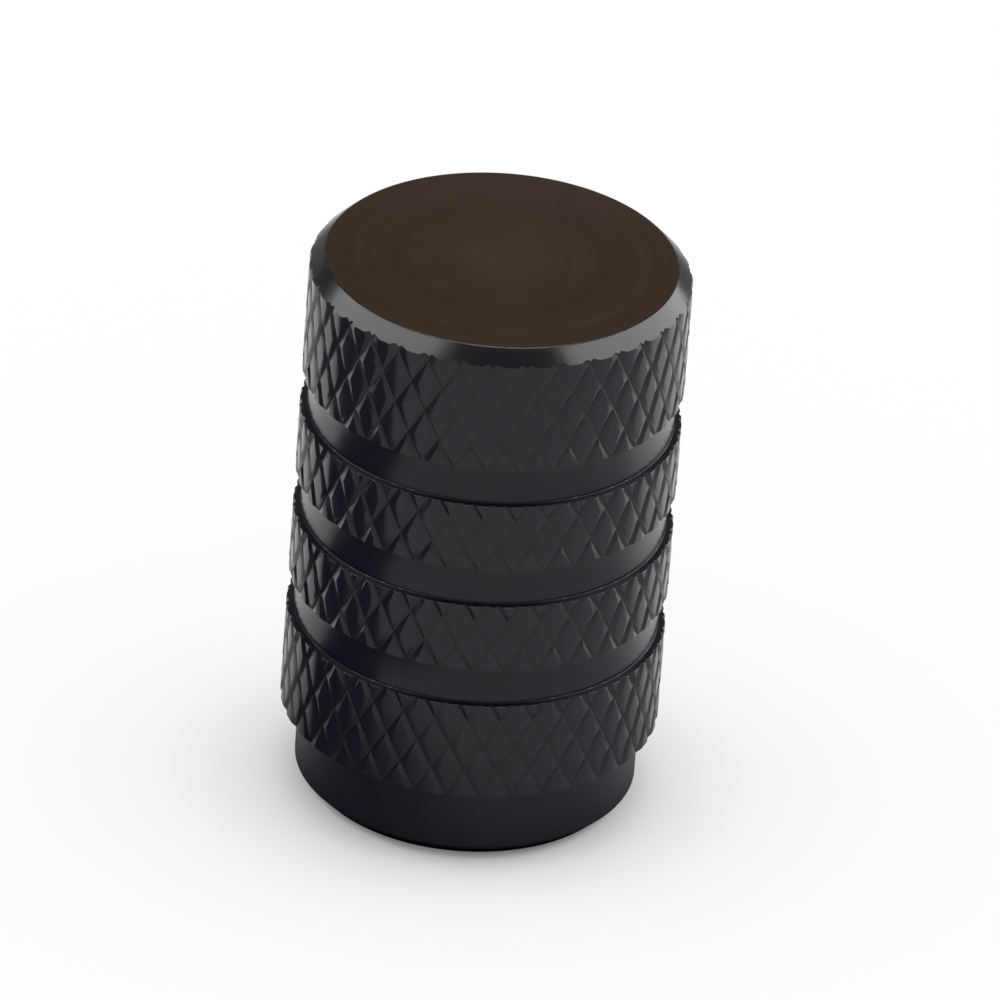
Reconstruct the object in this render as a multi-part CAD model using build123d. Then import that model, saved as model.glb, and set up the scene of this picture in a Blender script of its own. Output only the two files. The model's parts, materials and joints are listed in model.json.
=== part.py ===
from build123d import *
from math import ceil, cos, radians, sin, tan
import os

# Tyre valve cap: a knurled, turned aluminium cap with a rubber washer inside.
# Millimetres. +Z runs up the axis, and the origin is the middle of the open mouth, on which the cap stands.

# Outside of the cap
cap_diameter = 10.2  # over the crests of the knurl
cap_height = 15.9
top_chamfer = 0.4
skirt_diameter = 9.2
skirt_height = 2.25
foot_chamfer = 0.4

# Plain grooves that part the knurled bands, counted down from the top
groove_count = 3
groove_width = 1.1
groove_pitch = 3.08
top_band_height = 3.54
groove_under_knurl = 0.12  # from the knurl's valleys down to the groove's floor

# Diamond knurl
knurl_lines = 36  # valleys around the cap, in each of the two directions
knurl_angle = 30.0  # between a valley and the cap's axis
knurl_depth = 0.08
knurl_overrun = 0.25  # knurled stock past both ends, which the turning takes away

# Blind bore for the valve stem, with the thread left plain at its major diameter
thread_diameter = 7.75
mouth_break = 0.1
crown_thickness = 3.8  # solid metal over the end of the bore
washer_room_diameter = 8.1

# Rubber washer, pushed up against the end of the bore
washer_thickness = 1.4
washer_hole_diameter = 4.0
washer_clearance = 0.05
washer_lip = 0.2  # room left under the washer, past its own thickness

crest_radius = cap_diameter / 2
valley_radius = crest_radius - knurl_depth
groove_floor_radius = valley_radius - groove_under_knurl
blank_radius = crest_radius + knurl_overrun
skirt_radius = skirt_diameter / 2
thread_radius = thread_diameter / 2
washer_room_radius = washer_room_diameter / 2
washer_seat = cap_height - crown_thickness
thread_top = washer_seat - washer_thickness - washer_lip


def turned(outline):
    """A solid of revolution about Z, from the (radius, height) corners of half its section."""
    section = Plane.XZ * make_face(Polyline(*outline, close=True))
    return revolve(section, Axis.Z)


def point_on(radius, angle, height):
    return (radius * cos(radians(angle)), radius * sin(radians(angle)), height)


def knurled_bar():
    """A closed bar whose side is pyramids between two sets of crossing valleys."""
    half_pitch = 180.0 / knurl_lines
    level_height = radians(half_pitch) * crest_radius / tan(radians(knurl_angle))
    top = cap_height + knurl_overrun
    levels = ceil((top + knurl_overrun) / level_height)

    def crest(level, step):
        return point_on(crest_radius, step * half_pitch, top - level * level_height)

    def valley(level, step):
        return point_on(valley_radius, step * half_pitch, top - level * level_height)

    facets = []
    for level in range(levels + 1):
        for step in range(level % 2, 2 * knurl_lines, 2):
            peak = crest(level, step)
            left = valley(level, step - 1)
            right = valley(level, step + 1)
            if level > 0:
                above = valley(level - 1, step)
                facets += [(peak, right, above), (peak, above, left)]
            if level < levels:
                below = valley(level + 1, step)
                facets += [(peak, left, below), (peak, below, right)]

    for level in (0, levels):
        rim = []
        for step in range(level % 2, 2 * knurl_lines, 2):
            rim += [crest(level, step), valley(level, step + 1)]
        facets.append(rim)

    return Solid(Shell([Face(Wire.make_polygon(corners)) for corners in facets]))


def turned_blank():
    """The cap as it is turned from bar: crown, chamfer, grooves, shoulder and skirt."""
    blank = turned([
        (0, 0),
        (skirt_radius - foot_chamfer, 0),
        (skirt_radius, foot_chamfer),
        (skirt_radius, skirt_height),
        (blank_radius, skirt_height),
        (blank_radius, cap_height - top_chamfer - knurl_overrun),
        (crest_radius - top_chamfer, cap_height),
        (0, cap_height),
    ])
    for number in range(groove_count):
        groove_top = cap_height - top_band_height - number * groove_pitch
        groove_bottom = groove_top - groove_width
        blank -= turned([
            (groove_floor_radius, groove_bottom),
            (blank_radius + knurl_overrun, groove_bottom),
            (blank_radius + knurl_overrun, groove_top),
            (groove_floor_radius, groove_top),
        ])
    return blank


def stem_bore():
    """The hollow: broken mouth edge, threaded length and a wider room for the washer."""
    return turned([
        (0, 0),
        (thread_radius + mouth_break, 0),
        (thread_radius, mouth_break),
        (thread_radius, thread_top),
        (washer_room_radius, thread_top),
        (washer_room_radius, washer_seat),
        (0, washer_seat),
    ])


def sealing_washer():
    outer_radius = washer_room_radius - washer_clearance
    hole_radius = washer_hole_diameter / 2
    return turned([
        (hole_radius, washer_seat - washer_thickness),
        (outer_radius, washer_seat - washer_thickness),
        (outer_radius, washer_seat),
        (hole_radius, washer_seat),
    ])


cap_body = (turned_blank() & knurled_bar()) - stem_bore()

os.makedirs("parts", exist_ok=True)
export_step(cap_body, "parts/cap_body.step")
export_step(sealing_washer(), "parts/sealing_washer.step")
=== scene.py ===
import json
from collections import Counter
from math import ceil, cos, pi, radians, sin, sqrt, tan

import bmesh
import bpy
from mathutils import Matrix, Vector


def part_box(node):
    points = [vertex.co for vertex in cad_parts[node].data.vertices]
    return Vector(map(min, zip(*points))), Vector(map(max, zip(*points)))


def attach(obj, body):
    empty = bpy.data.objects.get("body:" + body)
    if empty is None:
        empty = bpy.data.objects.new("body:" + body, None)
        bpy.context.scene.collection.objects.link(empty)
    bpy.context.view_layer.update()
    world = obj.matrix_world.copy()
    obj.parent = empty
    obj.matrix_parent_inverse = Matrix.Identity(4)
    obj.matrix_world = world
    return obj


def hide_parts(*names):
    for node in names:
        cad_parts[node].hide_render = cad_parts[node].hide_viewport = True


# Tyre valve cap, dressed: a knurled and turned cap of black anodised aluminium, tapped for a tyre valve,
# with a rubber washer at the end of its bore. Metres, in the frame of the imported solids.

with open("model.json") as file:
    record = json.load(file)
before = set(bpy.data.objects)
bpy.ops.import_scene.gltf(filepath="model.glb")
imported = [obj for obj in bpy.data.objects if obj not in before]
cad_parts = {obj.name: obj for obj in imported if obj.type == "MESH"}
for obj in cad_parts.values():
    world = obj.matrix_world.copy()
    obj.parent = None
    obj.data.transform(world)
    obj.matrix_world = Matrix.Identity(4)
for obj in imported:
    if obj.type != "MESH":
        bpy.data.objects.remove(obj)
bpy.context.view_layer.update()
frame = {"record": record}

MM = 0.001

# Sizes read from the frame
crest_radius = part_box("cap_body")[1].x
cap_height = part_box("cap_body")[1].z
washer_low, washer_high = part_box("sealing_washer")
valve_thread = next(mount for mount in frame["record"]["mounts"] if mount["name"] == "valve_thread")
thread_radius = valve_thread["dims"]["r_mm"] * MM

# Outside of the cap
top_chamfer = 0.4 * MM
skirt_radius = 4.6 * MM
skirt_height = 2.25 * MM
foot_chamfer = 0.4 * MM
groove_count = 3
groove_width = 1.1 * MM
groove_pitch = 3.08 * MM
top_band_height = 3.54 * MM
groove_floor_radius = 4.9 * MM
band_edge_break = 0.02 * MM  # chamfer on the crests where a band ends
corner_round = 0.03 * MM  # on every turned corner, inside and outside
corner_round_steps = 3

# Diamond knurl
knurl_lines = 36  # valleys around the cap, in each of the two directions
knurl_angle = radians(30.0)  # between a valley and the cap's axis
knurl_depth = 0.06 * MM
knurl_overrun = 0.25 * MM  # stock past the crests and both ends, which machining takes away
flank_width = 0.2 * MM
shoulder_width = 0.03 * MM
flank_share = 0.94  # of the tooth's height, the rest is in its bevelled shoulder

# Bore and valve thread
mouth_break = 0.1 * MM
thread_top = 10.5 * MM
thread_pitch = 25.4 / 32 * MM  # 32 turns to the inch
thread_depth = 0.54127 * thread_pitch  # five eighths of a sharp 60 degree thread
tap_turns_below = 3  # spare turns on the tap under the mouth and past the thread's top
tap_turns_above = 2
washer_room_radius = 4.05 * MM
washer_seat = washer_high.z

# Rubber washer
washer_hole_radius = 2.0 * MM
washer_edge_round = 0.12 * MM
washer_round_steps = 4

# Meshes
steps_round = 288
weld = 1e-7  # points closer than this are one
corner_angle = radians(20)  # an edge that is bent more than this gets a round
crease_angle = radians(25)  # an edge that is bent more than this is shaded sharp
level_normal = 0.9  # height of a unit normal, past which its face counts as level
facet_corners = 4  # of a whole knurl facet, at most

valley_radius = crest_radius - knurl_depth
blank_radius = crest_radius + knurl_overrun
thread_minor_radius = thread_radius - thread_depth
mouth_radius = thread_radius + mouth_break

finishes = ["knurl", "crown", "chamfer", "groove", "groove wall", "skirt", "bore"]
around_axis = {"cent": (0, 0, 0), "axis": (0, 0, 1)}


def geometry(bm):
    return bm.verts[:] + bm.edges[:] + bm.faces[:]


def weld_and_face_out(bm):
    bmesh.ops.remove_doubles(bm, verts=bm.verts, dist=weld)
    bmesh.ops.dissolve_degenerate(bm, edges=bm.edges, dist=weld)
    bmesh.ops.recalc_face_normals(bm, faces=bm.faces)


def round_corners(bm, size, steps):
    corners = [edge for edge in bm.edges if edge.calc_face_angle(0) > corner_angle]
    bmesh.ops.bevel(
        bm, geom=corners, offset=size, segments=steps, profile=0.5, affect="EDGES", material=-1,
    )


def new_object(name, bm):
    """An object at the origin, with its place in its mesh."""
    mesh = bpy.data.meshes.new(name)
    bm.to_mesh(mesh)
    bm.free()
    made = bpy.data.objects.new(name, mesh)
    bpy.context.scene.collection.objects.link(made)
    return made


def spin_outline(bm, outline, finish=finishes[0], rise=0.0):
    """Spins (radius, height) points a full turn round the axis, climbing by rise if it is a thread.

    The faces take the piece's first material unless a finish is named.
    """
    older = set(bm.faces)
    verts = [bm.verts.new((radius, 0, height)) for radius, height in outline]
    edges = [bm.edges.new(pair) for pair in zip(verts, verts[1:])]
    bmesh.ops.spin(
        bm, geom=verts + edges, angle=2 * pi, steps=steps_round, use_merge=rise == 0,
        dvec=(0, 0, rise / steps_round), **around_axis,
    )
    for face in bm.faces:
        if face not in older:
            face.material_index = finishes.index(finish)


def cut_flat(bm, height, keep_below):
    """Cuts the mesh off at a height and closes the cut."""
    cut = bmesh.ops.bisect_plane(
        bm, geom=geometry(bm), dist=weld, plane_co=(0, 0, height), plane_no=(0, 0, 1),
        clear_outer=keep_below, clear_inner=not keep_below,
    )
    rim = [part for part in cut["geom_cut"] if isinstance(part, bmesh.types.BMEdge)]
    bmesh.ops.contextual_create(bm, geom=rim)


def turned_blank():
    """The cap as turned and drilled, with oversize stock where the knurl will be."""
    rim = crest_radius - band_edge_break
    rim_drop = blank_radius - rim

    side = [(blank_radius, cap_height - top_chamfer - knurl_overrun)]
    for number in range(groove_count):
        top = cap_height - top_band_height - number * groove_pitch
        bottom = top - groove_width
        side += [
            (blank_radius, top + rim_drop),
            (rim, top),
            (groove_floor_radius, top),
            (groove_floor_radius, bottom),
            (rim, bottom),
            (blank_radius, bottom - rim_drop),
        ]
    side += [
        (blank_radius, skirt_height + rim_drop),
        (rim, skirt_height),
        (skirt_radius, skirt_height),
    ]

    chamfer_top = (crest_radius - top_chamfer, cap_height)
    bm = bmesh.new()
    spin_outline(bm, [(0, cap_height), chamfer_top], "crown")
    spin_outline(bm, [chamfer_top, side[0]], "chamfer")
    spin_outline(bm, side, "groove")
    spin_outline(bm, [
        (skirt_radius, skirt_height),
        (skirt_radius, foot_chamfer),
        (skirt_radius - foot_chamfer, 0),
        (mouth_radius, 0),
    ], "skirt")
    spin_outline(bm, [
        (mouth_radius, 0),
        (thread_minor_radius, mouth_radius - thread_minor_radius),
        (thread_minor_radius, thread_top),
        (washer_room_radius, thread_top),
        (washer_room_radius, washer_seat),
        (0, washer_seat),
    ], "bore")
    weld_and_face_out(bm)
    for face in bm.faces:
        if face.material_index == finishes.index("groove") and abs(face.normal.z) > level_normal:
            face.material_index = finishes.index("groove wall")
    round_corners(bm, corner_round, corner_round_steps)
    return new_object("turned_blank", bm)


def knurled_bar():
    """A bar with a diamond knurl: one tooth, repeated around the bar and then level by level."""
    half_pitch = pi / knurl_lines
    level_height = half_pitch * crest_radius / tan(knurl_angle)
    top = cap_height + knurl_overrun
    levels = ceil((top + knurl_overrun) / level_height)

    bm = bmesh.new()
    tooth = bm.faces.new([
        bm.verts.new((valley_radius * cos(turn), valley_radius * sin(turn), top + lift))
        for turn, lift in ((0, -level_height), (half_pitch, 0), (0, level_height), (-half_pitch, 0))
    ])
    tooth.normal_update()
    height = crest_radius - tooth.calc_center_median().x
    for width, share in ((flank_width, flank_share), (shoulder_width, 1 - flank_share)):
        bmesh.ops.inset_individual(bm, faces=[tooth], thickness=width, depth=height * share)
    for vert in tooth.verts:
        vert.co.x = sqrt(crest_radius**2 - vert.co.y**2)

    around = knurl_lines - 1
    bmesh.ops.spin(
        bm, geom=geometry(bm), angle=2 * half_pitch * around, steps=around, use_duplicate=True,
        **around_axis,
    )
    bmesh.ops.spin(
        bm, geom=geometry(bm), angle=half_pitch * levels, steps=levels, use_duplicate=True,
        dvec=(0, 0, -level_height), **around_axis,
    )
    weld_and_face_out(bm)
    cut_flat(bm, cap_height + knurl_overrun / 2, keep_below=True)
    cut_flat(bm, -knurl_overrun / 2, keep_below=False)
    weld_and_face_out(bm)
    return new_object("knurled_bar", bm)


def valve_tap():
    """A bar with the valve's outside thread, which cuts the thread in the bore."""
    root_flat = thread_pitch / 4
    crest_flat = thread_pitch / 8
    flank = (thread_pitch - root_flat - crest_flat) / 2
    start = -tap_turns_below * thread_pitch
    turns = ceil((thread_top - start) / thread_pitch) + tap_turns_above

    outline = []
    for turn in range(turns):
        foot = start + turn * thread_pitch
        outline += [
            (thread_minor_radius, foot),
            (thread_minor_radius, foot + root_flat),
            (thread_radius, foot + root_flat + flank),
            (thread_radius, foot + root_flat + flank + crest_flat),
        ]
    outline.append((thread_minor_radius, start + turns * thread_pitch))

    bm = bmesh.new()
    spin_outline(bm, outline, "bore", rise=thread_pitch)
    weld_and_face_out(bm)
    cut_flat(bm, thread_top + mouth_break, keep_below=True)
    cut_flat(bm, -thread_pitch / 2, keep_below=False)
    weld_and_face_out(bm)
    return new_object("valve_tap", bm)


def machine(work, tool, operation):
    """Cuts the work with the tool and puts the tool away."""
    cut = work.modifiers.new("cut", "BOOLEAN")
    cut.operation = operation
    cut.object = tool
    cut.solver = "MANIFOLD"
    shaped = work.evaluated_get(bpy.context.evaluated_depsgraph_get())
    mesh = bpy.data.meshes.new_from_object(shaped)
    work.modifiers.clear()
    work.data = mesh
    bpy.data.objects.remove(tool)


def clean(piece):
    """Welds the slivers that machining leaves, and takes off the flaps between them."""
    knurl = finishes.index("knurl")
    bm = bmesh.new()
    bm.from_mesh(piece.data)
    weld_and_face_out(bm)
    machined = [
        face for face in bm.faces
        if face.material_index != knurl or len(face.verts) > facet_corners
    ]
    bmesh.ops.triangulate(bm, faces=machined)
    uses = Counter(frozenset(face.verts) for face in bm.faces)
    flaps = [face for face in bm.faces if uses[frozenset(face.verts)] > 1]
    bmesh.ops.delete(bm, geom=flaps, context="FACES")
    bm.to_mesh(piece.data)
    bm.free()


def shade(piece):
    piece.data.shade_smooth()
    piece.data.set_sharp_from_angle(angle=crease_angle)


def knurled_cap(materials):
    """The blank, knurled and tapped, in the materials of its finishes."""
    cap = turned_blank()
    for material in materials:
        cap.data.materials.append(material)
    machine(cap, knurled_bar(), "INTERSECT")
    machine(cap, valve_tap(), "DIFFERENCE")
    clean(cap)
    cap.name = "knurled_cap"
    shade(cap)
    return cap


def rubber_washer(material):
    """A flat ring with moulded, rounded edges."""
    bm = bmesh.new()
    spin_outline(bm, [
        (washer_hole_radius, washer_low.z),
        (washer_high.x, washer_low.z),
        (washer_high.x, washer_high.z),
        (washer_hole_radius, washer_high.z),
        (washer_hole_radius, washer_low.z),
    ])
    weld_and_face_out(bm)
    round_corners(bm, washer_edge_round, washer_round_steps)
    washer = new_object("rubber_washer", bm)
    washer.data.materials.append(material)
    shade(washer)
    return washer


def feed(tree, socket, value):
    """Links a socket to an output socket, or sets it to a plain value."""
    if isinstance(value, bpy.types.NodeSocket):
        tree.links.new(value, socket)
    else:
        socket.default_value = value


def feed_in_order(tree, node, values):
    for socket, value in zip(node.inputs, values):
        feed(tree, socket, value)


def add(tree, kind, settings=None, **values):
    """A node of a kind with its settings, and with its sockets fed by name."""
    node = tree.nodes.new(kind)
    for name, setting in (settings or {}).items():
        setattr(node, name, setting)
    for name, value in values.items():
        feed(tree, node.inputs[name.replace("_", " ")], value)
    return node


def calculate(tree, operation, *numbers):
    """The result of a Math node on numbers or sockets."""
    node = add(tree, "ShaderNodeMath", {"operation": operation})
    feed_in_order(tree, node, numbers)
    return node.outputs["Value"]


def ramp(tree, value, start, end, low=0.0, high=1.0, shape="LINEAR"):
    """Goes from low to high while the value goes from start to end."""
    node = add(
        tree, "ShaderNodeMapRange", {"interpolation_type": shape}, Value=value,
        From_Min=start, From_Max=end, To_Min=low, To_Max=high,
    )
    return node.outputs["Result"]


def spread(tree, value, low, high):
    """A 0 to 1 value spread between two numbers."""
    return ramp(tree, value, 0.0, 1.0, low, high)


def blend(tree, share, first, second):
    """A colour between two colours."""
    node = add(tree, "ShaderNodeMix", {"data_type": "RGBA"}, Factor=share)
    ends = [socket for socket in node.inputs if socket.type == "RGBA"]
    for socket, colour in zip(ends, (first, second)):
        socket.default_value = (*colour, 1)
    return next(socket for socket in node.outputs if socket.type == "RGBA")


def noise(tree, dimensions, detail, **values):
    node = add(tree, "ShaderNodeTexNoise", {"noise_dimensions": dimensions}, Detail=detail, **values)
    return node.outputs["Fac"]


def new_group(name, inputs, outputs):
    """An empty shader node group with float sockets, or vector ones where the name says Place."""
    tree = bpy.data.node_groups.new(name, "ShaderNodeTree")
    for label in inputs:
        kind = "NodeSocketVector" if label == "Place" else "NodeSocketFloat"
        tree.interface.new_socket(label, in_out="INPUT", socket_type=kind)
    for label in outputs:
        tree.interface.new_socket(label, in_out="OUTPUT", socket_type="NodeSocketFloat")
    return tree, tree.nodes.new("NodeGroupInput").outputs, tree.nodes.new("NodeGroupOutput").inputs


# Finishes: linear colours, sizes of marks and heights of relief
knurl_black = (0.005, 0.0042, 0.013)
rubbed_black = (0.009, 0.008, 0.018)
rubbed_depth = 0.04 * MM  # below the crests, where the rubbing stops
# The crown's brown tint is a painted reflection of a warm-coloured room
crown_reflection_brown = (0.024, 0.011, 0.004)
crown_pale_and_highlight_brown = (0.036, 0.02, 0.009)
crown_highlight_radius = 3 * MM
crown_highlight_share = 0.5  # of the paler brown, added at the crown's middle as a painted highlight
turned_dark = (0.0045, 0.0037)  # red and green of the turned black, whose blue each surface sets
turned_pale = (0.006, 0.0052)
turned_pale_blue = 1.2  # times the dark tone's blue
rubber_black = (0.014, 0.014, 0.014)
rubber_bloom = (0.03, 0.03, 0.029)

knurl_grain_size = 0.05 * MM
crown_grain_size = 0.08 * MM
turned_grain_size = 0.06 * MM
rubber_grain_size = 0.12 * MM
mottle_size = 14.0  # times the grain's
crown_ring_pitch = 0.06 * MM
turned_ring_pitch = 0.05 * MM
sheen_scale = 0.12  # of the tool lines' scale

fine_relief = 0.0008 * MM
crown_relief = 0.0012 * MM
rubber_relief = 0.01 * MM


def turning_marks_group():
    """Fine tool lines across a feed direction: Height for the bump, Sheen for broader bands."""
    tree, inlet, outlet = new_group("turning marks", ["Feed", "Pitch"], ["Height", "Sheen"])
    lines = calculate(tree, "DIVIDE", inlet["Feed"], inlet["Pitch"])
    tree.links.new(noise(tree, "1D", detail=2.0, W=lines, Scale=1.0), outlet["Height"])
    tree.links.new(noise(tree, "1D", detail=3.0, W=lines, Scale=sheen_scale), outlet["Sheen"])
    return tree


def anodised_grain_group():
    """Etched surface under an anodised layer: Grain is fine pitting, Mottle a slow change of tone."""
    tree, inlet, outlet = new_group("anodised grain", ["Place", "Size"], ["Grain", "Mottle"])
    fine = calculate(tree, "DIVIDE", 1.0, inlet["Size"])
    broad = calculate(tree, "DIVIDE", fine, mottle_size)
    tree.links.new(noise(tree, "3D", detail=3.0, Vector=inlet["Place"], Scale=fine), outlet["Grain"])
    tree.links.new(noise(tree, "3D", detail=2.0, Vector=inlet["Place"], Scale=broad), outlet["Mottle"])
    return tree


def use_group(tree, group, **values):
    return add(tree, "ShaderNodeGroup", {"node_tree": group}, **values).outputs


def new_finish(name, ior):
    """A material with its Principled shader, and the place on the piece."""
    material = bpy.data.materials.new(name)
    material.use_nodes = True
    tree = material.node_tree
    shader = tree.nodes["Principled BSDF"]
    shader.inputs["IOR"].default_value = ior
    place = tree.nodes.new("ShaderNodeTexCoord").outputs["Object"]
    return material, tree, shader.inputs, place


def radius_and_height(tree, place):
    split = add(tree, "ShaderNodeSeparateXYZ", Vector=place).outputs
    flat = add(tree, "ShaderNodeCombineXYZ", X=split["X"], Y=split["Y"]).outputs["Vector"]
    length = add(tree, "ShaderNodeVectorMath", {"operation": "LENGTH"}, Vector=flat)
    return length.outputs["Value"], split["Z"]


def bump(tree, sockets, height, depth):
    relief = add(tree, "ShaderNodeBump", Height=height, Distance=depth)
    tree.links.new(relief.outputs["Normal"], sockets["Normal"])


def knurled_finish(grain):
    """Satin black on the knurl, a little smoother and greyer on the crests that fingers rub."""
    material, tree, sockets, place = new_finish("knurled black anodise", ior=1.62)
    radius, _ = radius_and_height(tree, place)
    surface = use_group(tree, grain, Place=place, Size=knurl_grain_size)
    crest = ramp(tree, radius, crest_radius - rubbed_depth, crest_radius)
    rubbed = calculate(tree, "MULTIPLY", crest, surface["Mottle"])
    smoothed = spread(tree, crest, low=0.26, high=0.13)
    dulled = spread(tree, surface["Mottle"], low=0.0, high=0.08)
    tree.links.new(blend(tree, rubbed, knurl_black, rubbed_black), sockets["Base Color"])
    tree.links.new(calculate(tree, "ADD", smoothed, dulled), sockets["Roughness"])
    bump(tree, sockets, surface["Grain"], fine_relief)
    return material


def crown_finish(marks, grain):
    """The faced-off crown: brown-black, its brown a painted warm reflection and its paler middle a
    painted highlight, with rings left by the tool.
    """
    material, tree, sockets, place = new_finish("faced black crown with painted warm reflection", ior=1.4)
    radius, _ = radius_and_height(tree, place)
    surface = use_group(tree, grain, Place=place, Size=crown_grain_size)
    rings = use_group(tree, marks, Feed=radius, Pitch=crown_ring_pitch)
    # painted highlight: a paler middle on the crown
    centre = ramp(
        tree, radius, 0.0, crown_highlight_radius, low=crown_highlight_share, high=0.0, shape="SMOOTHSTEP",
    )
    # random tone along the rings, plus the painted highlight at the middle
    tone = calculate(tree, "MULTIPLY_ADD", surface["Mottle"], rings["Sheen"], centre)
    tree.links.new(blend(tree, tone, crown_reflection_brown, crown_pale_and_highlight_brown), sockets["Base Color"])
    tree.links.new(spread(tree, rings["Sheen"], low=0.26, high=0.38), sockets["Roughness"])
    bump(tree, sockets, rings["Height"], crown_relief)
    return material


def turned_finish(name, marks, grain, ior, smoothest, roughest, blue):
    """Turned black anodise with fine tool lines round the axis."""
    material, tree, sockets, place = new_finish(name, ior)
    _, height = radius_and_height(tree, place)
    surface = use_group(tree, grain, Place=place, Size=turned_grain_size)
    rings = use_group(tree, marks, Feed=height, Pitch=turned_ring_pitch)
    dark = (*turned_dark, blue)
    pale = (*turned_pale, turned_pale_blue * blue)
    tree.links.new(blend(tree, surface["Mottle"], dark, pale), sockets["Base Color"])
    tree.links.new(spread(tree, rings["Sheen"], smoothest, roughest), sockets["Roughness"])
    bump(tree, sockets, rings["Height"], fine_relief)
    return material


def rubber_finish(grain):
    """Moulded rubber, matte, with a faint bloom."""
    material, tree, sockets, place = new_finish("moulded black rubber", ior=1.5)
    surface = use_group(tree, grain, Place=place, Size=rubber_grain_size)
    tree.links.new(blend(tree, surface["Mottle"], rubber_black, rubber_bloom), sockets["Base Color"])
    tree.links.new(spread(tree, surface["Grain"], low=0.62, high=0.8), sockets["Roughness"])
    bump(tree, sockets, surface["Grain"], rubber_relief)
    return material


marks = turning_marks_group()
grain = anodised_grain_group()
metal_finishes = [
    knurled_finish(grain),
    crown_finish(marks, grain),
    turned_finish("turned chamfer", marks, grain, ior=1.55, smoothest=0.15, roughest=0.24, blue=0.007),
    turned_finish("turned groove", marks, grain, ior=1.57, smoothest=0.2, roughest=0.28, blue=0.013),
    turned_finish("parted groove wall", marks, grain, ior=1.42, smoothest=0.3, roughest=0.4, blue=0.011),
    turned_finish("turned skirt", marks, grain, ior=1.63, smoothest=0.2, roughest=0.28, blue=0.015),
    turned_finish("tapped bore", marks, grain, ior=1.5, smoothest=0.3, roughest=0.42, blue=0.011),
]

cap = knurled_cap(metal_finishes)
washer = rubber_washer(rubber_finish(grain))
for piece, node, slot in (
    (cap, "cap_body", "anodised_aluminium"),
    (washer, "sealing_washer", "seal_rubber"),
):
    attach(piece, "root")
    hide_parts(node)

# Pale floor with a low grey wall, far from the cap
floor_radius = 0.5
floor_steps = 128
wall_height = 0.13
floor_colour = (0.7, 0.7, 0.7)
wall_colour = (0.6, 0.6, 0.6)
matte_ior = 1.3
matte_roughness = 0.9

# The floor is in shadow near the cap and fades to white, from one radius as the camera sees it
# and from another as the cap's sides reflect it, where the shadow is painted
seen_shadow = 3.9 * MM
painted_reflected_shadow = 4.3 * MM
shadow_falloff = 2.0  # power of the distance

# The white floor as the cap's sides reflect it, with painted shade on the camera's side, far behind and
# at the dark card's foot
painted_front_brightness = 0.5  # of the painted shade on the camera's side
brighter_from = -3.5 * MM  # between these depths the painted shade brightens to white towards the back
brighter_to = 7 * MM
painted_far_brightness = 0.3  # of the painted shade far behind the cap
darker_from = 40 * MM  # between these depths the painted shade darkens to that
darker_to = 100 * MM
painted_shadow_centre = (-6.5 * MM, -5.5 * MM, 0)  # of a painted shadow on the reflected floor at the foot of the dark card
painted_shadow_from = 1.5 * MM  # between these radii the painted shadow fades
painted_shadow_to = 8.5 * MM
painted_shadow_brightness = 0.3


def matte_finish(name, colour):
    """A plain matte material, and what is needed to add to it."""
    material, tree, sockets, place = new_finish(name, matte_ior)
    sockets["Base Color"].default_value = (*colour, 1)
    sockets["Roughness"].default_value = matte_roughness
    return material, tree, place


def floor_finish():
    """Pale and matte, fading to white away from the cap as the camera and reflections see it;
    reflections see only its glow, with painted shadow and painted shade.
    """
    material, tree, place = matte_finish("pale floor", floor_colour)
    radius, _ = radius_and_height(tree, place)
    depth = add(tree, "ShaderNodeSeparateXYZ", Vector=place).outputs["Y"]

    def white(shadow):
        """How much of the floor is white at a radius, from none within its shadow."""
        dark = calculate(tree, "POWER", calculate(tree, "DIVIDE", shadow, radius), shadow_falloff)
        return calculate(tree, "MAXIMUM", calculate(tree, "SUBTRACT", 1.0, dark), 0.0)

    # distance from the centre of the painted shadow at the dark card's foot
    from_painted_shadow = add(tree, "ShaderNodeVectorMath", {"operation": "DISTANCE"})
    feed_in_order(tree, from_painted_shadow, (place, painted_shadow_centre))
    # painted shadow near the cap, seen only in reflections
    brightness = white(painted_reflected_shadow)
    for share in (
        # painted shade, darker on the camera's side
        ramp(tree, depth, brighter_from, brighter_to, low=painted_front_brightness, shape="SMOOTHSTEP"),
        # painted shade, darker far behind the cap
        ramp(tree, depth, darker_from, darker_to, low=1.0, high=painted_far_brightness),
        # painted shadow at the dark card's foot
        ramp(
            tree, from_painted_shadow.outputs["Value"], painted_shadow_from, painted_shadow_to, low=painted_shadow_brightness,
            shape="SMOOTHSTEP",
        ),
    ):
        brightness = calculate(tree, "MULTIPLY", brightness, share)

    rays = tree.nodes.new("ShaderNodeLightPath").outputs
    reflected = calculate(tree, "MAXIMUM", rays["Is Glossy Ray"], rays["Is Transmission Ray"])
    seen = calculate(tree, "MULTIPLY", rays["Is Camera Ray"], white(seen_shadow))
    strength = calculate(tree, "MAXIMUM", rays["Is Camera Ray"], brightness)
    shown = calculate(tree, "MAXIMUM", seen, reflected)
    matte = tree.nodes["Principled BSDF"].outputs["BSDF"]
    # the glow is white for the camera, and for reflections it carries the painted shadow and shade
    glow = add(tree, "ShaderNodeEmission", Strength=strength).outputs["Emission"]
    mixed = tree.nodes.new("ShaderNodeMixShader")
    feed_in_order(tree, mixed, (shown, matte, glow))
    tree.links.new(mixed.outputs["Shader"], tree.nodes["Material Output"].inputs["Surface"])
    return material


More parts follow.
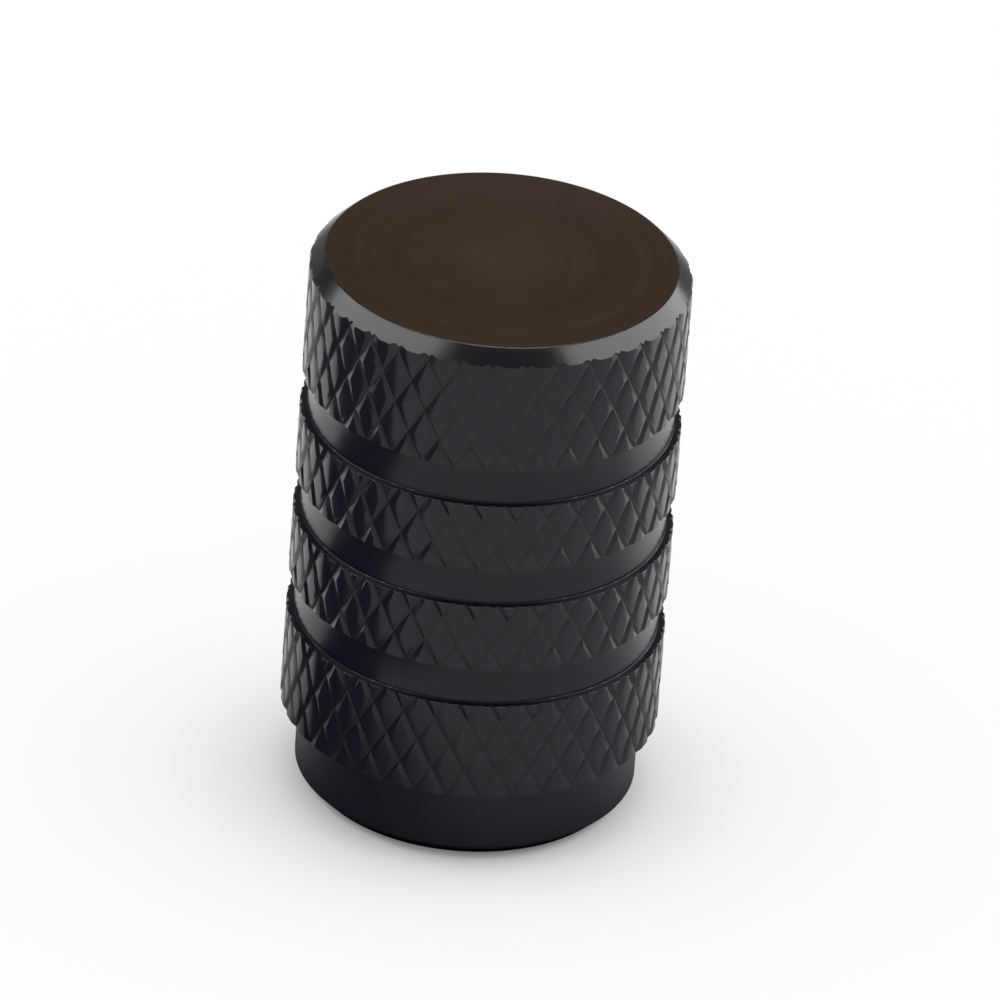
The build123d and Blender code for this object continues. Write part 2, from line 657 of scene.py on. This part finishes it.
def studio_floor():
    wall, _, _ = matte_finish("grey wall", wall_colour)
    bm = bmesh.new()
    bmesh.ops.create_circle(bm, cap_ends=True, segments=floor_steps, radius=floor_radius)
    rim = [edge for edge in bm.edges if edge.is_boundary]
    raised = bmesh.ops.extrude_edge_only(bm, edges=rim)["geom"]
    upper = [part for part in raised if isinstance(part, bmesh.types.BMVert)]
    bmesh.ops.translate(bm, verts=upper, vec=(0, 0, wall_height))
    for part in raised:
        if isinstance(part, bmesh.types.BMFace):
            part.material_index = 1
    made = new_object("floor", bm)
    made.data.materials.append(floor_finish())
    made.data.materials.append(wall)


# Dark card that leans away from the cap on its left, for the dark streak in its reflections
card_colour = (0.12, 0.12, 0.12)
card_foot = [(-6.5 * MM, -7 * MM, 0), (-6.5 * MM, -2 * MM, 0)]
card_top = [(-12 * MM, -0.4 * MM, 13 * MM), (-12 * MM, -9.6 * MM, 13 * MM)]


def dark_card():
    card, _, _ = matte_finish("dark card", card_colour)
    bm = bmesh.new()
    bm.faces.new([bm.verts.new(corner) for corner in card_foot + card_top])
    made = new_object("dark_card", bm)
    made.data.materials.append(card)
    made.visible_camera = False
    made.visible_diffuse = False
    made.visible_shadow = False


studio_floor()
dark_card()

# Camera, at the photograph's height and lean
camera_elevation = radians(30.33)
camera_lean = radians(4.35)
camera_distance = 0.3999
camera_lens = 537.7
aim_height = 7.97 * MM
aim_right = 0.46 * MM
aim_up = 0.44 * MM

right = Vector((1, 0, 0))
up = Vector((0, sin(camera_elevation), cos(camera_elevation)))
back = Vector((0, -cos(camera_elevation), sin(camera_elevation)))
camera_x = right * cos(camera_lean) + up * sin(camera_lean)
camera_y = up * cos(camera_lean) - right * sin(camera_lean)
camera_axes = Matrix((camera_x, camera_y, back)).transposed().to_4x4()
aim = Vector((0, 0, aim_height)) + camera_x * aim_right + camera_y * aim_up

camera_data = bpy.data.cameras.new("camera")
camera_data.lens = camera_lens
camera = bpy.data.objects.new("camera", camera_data)
camera.matrix_world = Matrix.Translation(aim + back * camera_distance) @ camera_axes
bpy.context.scene.collection.objects.link(camera)
bpy.context.scene.camera = camera


def towards(azimuth, elevation):
    """The direction of a lamp from the cap, in degrees. Azimuth 0 is the camera's side, 90 the right."""
    around = radians(azimuth)
    above = radians(elevation)
    return Vector((sin(around) * cos(above), -cos(around) * cos(above), sin(above)))


def softbox(name, start, end, distance, width, brightness):
    """A soft strip lamp that runs from one direction to another and faces the cap."""
    first = towards(*start) * distance
    last = towards(*end) * distance
    middle = (first + last) / 2
    outward = middle.normalized()
    along = (last - first).normalized()
    data = bpy.data.lights.new(name, "AREA")
    data.shape = "RECTANGLE"
    data.size = (last - first).length
    data.size_y = width
    data.energy = brightness * pi * data.size * width
    lamp = bpy.data.objects.new(name, data)
    axes = Matrix((along, outward.cross(along), outward)).transposed().to_4x4()
    lamp.matrix_world = Matrix.Translation(middle) @ axes
    bpy.context.scene.collection.objects.link(lamp)


softbox("right softbox", start=(58, 52), end=(138, 10), distance=0.4, width=0.15, brightness=3.4)
softbox("left softbox", start=(-46, 56), end=(-118, 25), distance=0.4, width=0.15, brightness=3.0)
softbox("top softbox", start=(180, 60), end=(0, 80), distance=0.5, width=0.3, brightness=2.5)

world_colour = (0.15, 0.15, 0.15)
world = bpy.data.worlds.new("studio")
world.use_nodes = True
world.node_tree.nodes["Background"].inputs["Color"].default_value = (*world_colour, 1)
bpy.context.scene.world = world
bpy.context.scene.view_settings.view_transform = "Standard"
